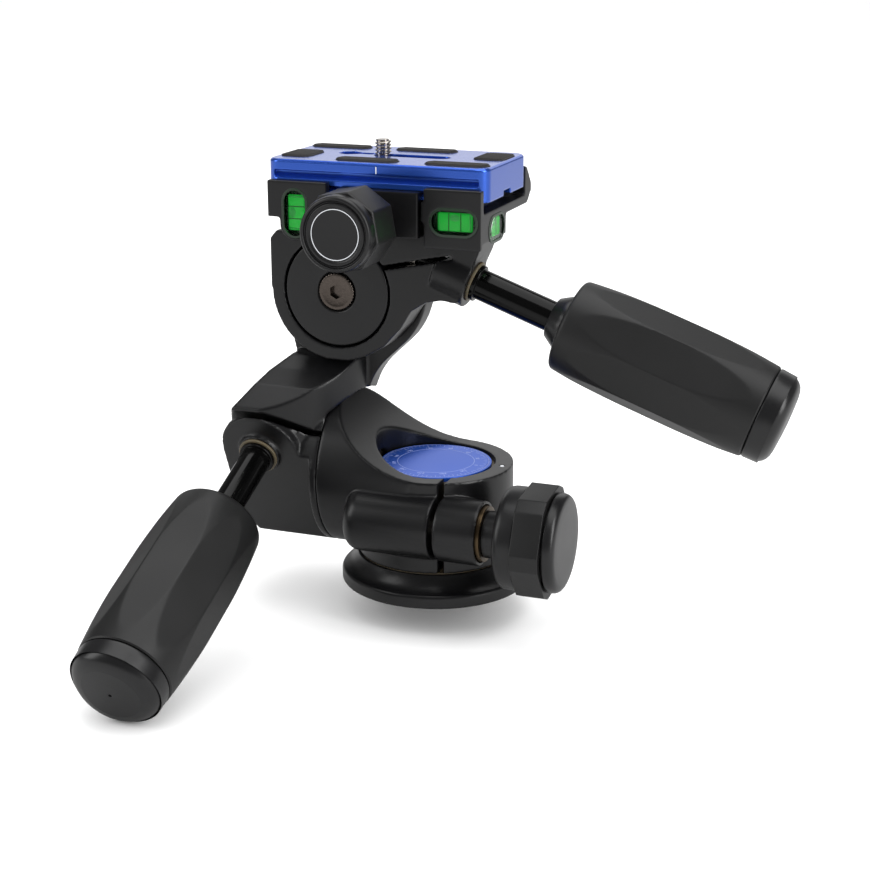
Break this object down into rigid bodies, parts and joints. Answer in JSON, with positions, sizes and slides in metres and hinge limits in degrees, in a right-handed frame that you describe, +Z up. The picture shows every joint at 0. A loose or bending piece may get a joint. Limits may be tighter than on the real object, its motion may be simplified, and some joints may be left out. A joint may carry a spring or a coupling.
{
  "type": "three way pan tilt head",
  "caption": "Camera support head with pan, side-tilt and front-tilt axes, two locking handles, a pan knob, bubble levels and a sliding quick-release plate.",
  "frame": {"origin": "centre of the base underside, on the pan axis and the tripod thread", "axes": "+Z up along the pan axis, +X along the side-tilt axis towards the pan locking knob and along the plate, +Y along the front-tilt axis away from its cover disc"},
  "size_m": [0.2229, 0.1907, 0.1855],
  "materials": {
    "black_casting": "satin black powder coat",
    "machined_aluminium": "turned, bare",
    "steel": "machined steel",
    "dark_screw": "dark bronze plated",
    "brass": "turned brass",
    "nylon": "natural nylon",
    "blue_anodised": "royal blue anodised",
    "white_paint": "white paint",
    "black_rod": "gloss black anodised",
    "grip_rubber": "matte rubber",
    "black_plastic": "satin moulded plastic",
    "knob_rubber": "firm rubber ring",
    "vial_fluid": "green fluid in clear acrylic",
    "clear_lens": "clear acrylic"
  },
  "bodies": {
    "base": {"base_flange": "black_casting", "tripod_thread_bush": "steel", "base_drum": "machined_aluminium", "drum_screws": "steel", "drum_sleeve": "nylon", "lower_thrust_ring": "nylon", "upper_thrust_ring": "nylon", "pan_scale_disc": "blue_anodised"},
    "pan_body": {"pan_casting": "black_casting", "roll_axle": "machined_aluminium", "roll_axle_screw": "steel", "roll_retainer_ring": "steel", "roll_retainer_screw": "steel", "pan_clamp_insert": "brass", "pan_index_dot": "white_paint"},
    "pan_knob": {"pan_knob_bolt": "steel", "pan_knob_washer": "brass", "pan_knob_hub": "black_plastic", "pan_knob_ring": "knob_rubber", "pan_knob_cap": "black_plastic"},
    "roll_body": {"roll_casting": "black_casting", "roll_end_cap": "black_casting", "roll_clamp_nut": "steel", "tilt_axle": "machined_aluminium", "tilt_thrust_ring": "nylon", "tilt_cover_disc": "black_casting", "tilt_pivot_screw": "dark_screw"},
    "roll_handle": {"roll_handle_rod": "black_rod", "roll_handle_washer": "nylon", "roll_handle_ferrule": "black_plastic", "roll_handle_grip": "grip_rubber", "roll_handle_end_cap": "black_plastic"},
    "tilt_body": {"platform_casting": "black_casting", "tilt_clamp_nut": "steel", "left_vial_cell": "vial_fluid", "left_vial_lens": "clear_lens", "front_vial_cell": "vial_fluid", "front_vial_lens": "clear_lens", "side_vial_cell": "vial_fluid", "side_vial_lens": "clear_lens", "jaw_guide_pins": "steel", "jaw_springs": "steel"},
    "tilt_handle": {"tilt_handle_rod": "black_rod", "tilt_handle_washer": "nylon", "tilt_handle_ferrule": "black_plastic", "tilt_handle_grip": "grip_rubber", "tilt_handle_end_cap": "black_plastic"},
    "qr_jaw": {"qr_jaw": "black_casting"},
    "qr_spindle": {"qr_spindle": "steel", "qr_knob_spring": "steel"},
    "qr_knob": {"qr_knob_grip": "black_plastic", "qr_knob_face": "black_plastic"},
    "plate": {"plate_body": "blue_anodised", "plate_pads": "grip_rubber"},
    "screw_slider": {"camera_screw_washer": "nylon"},
    "camera_screw": {"camera_screw": "steel"}
  },
  "joints": [
    {"name": "pan_turn", "type": "hinge", "parent": "base", "child": "pan_body", "pos_m": [0, 0, 0.03], "axis": [0, 0, 1], "continuous": true},
    {"name": "pan_lock_turn", "type": "hinge", "parent": "pan_body", "child": "pan_knob", "pos_m": [0.045, -0.0285, 0.031], "axis": [1, 0, 0], "range_deg": [0, 360]},
    {"name": "roll_tilt", "type": "hinge", "parent": "pan_body", "child": "roll_body", "pos_m": [-0.055, 0, 0.0432], "axis": [1, 0, 0], "range_deg": [-90, 30]},
    {"name": "roll_lock_turn", "type": "hinge", "parent": "roll_body", "child": "roll_handle", "pos_m": [-0.0624, -0.03124, 0.05284], "axis": [0, -0.9171, -0.3987], "range_deg": [0, 360]},
    {"name": "front_tilt", "type": "hinge", "parent": "roll_body", "child": "tilt_body", "pos_m": [-0.0356, 0, 0.1163], "axis": [0, 1, 0], "range_deg": [-90, 12]},
    {"name": "tilt_lock_turn", "type": "hinge", "parent": "tilt_body", "child": "tilt_handle", "pos_m": [0.0174, -0.0055, 0.1226], "axis": [0.9397, 0, -0.342], "range_deg": [0, 360]},
    {"name": "jaw_slide", "type": "slide", "parent": "tilt_body", "child": "qr_jaw", "axis": [0, -1, 0], "range_m": [0, 0.004]},
    {"name": "qr_turn", "type": "hinge", "parent": "qr_jaw", "child": "qr_spindle", "pos_m": [-0.015, -0.03, 0.1476], "axis": [0, -1, 0], "range_deg": [0, 360]},
    {"name": "qr_press", "type": "slide", "parent": "qr_spindle", "child": "qr_knob", "axis": [0, 1, 0], "range_m": [0, 0.002], "stiffness_N_per_m": 1500, "springref_m": -0.001, "deforming": ["qr_knob_spring"]},
    {"name": "plate_slide", "type": "slide", "parent": "tilt_body", "child": "plate", "axis": [1, 0, 0], "range_m": [-0.005, 0.005]},
    {"name": "screw_slide", "type": "slide", "parent": "plate", "child": "screw_slider", "axis": [1, 0, 0], "range_m": [0, 0.0235]},
    {"name": "camera_screw_turn", "type": "hinge", "parent": "screw_slider", "child": "camera_screw", "pos_m": [-0.0215, 0.0002, 0.165], "axis": [0, 0, 1], "continuous": true}
  ],
  "couplings": [
    {"joint": "qr_turn", "follows": "jaw_slide", "rad_per_m": 1570.7}
  ]
}
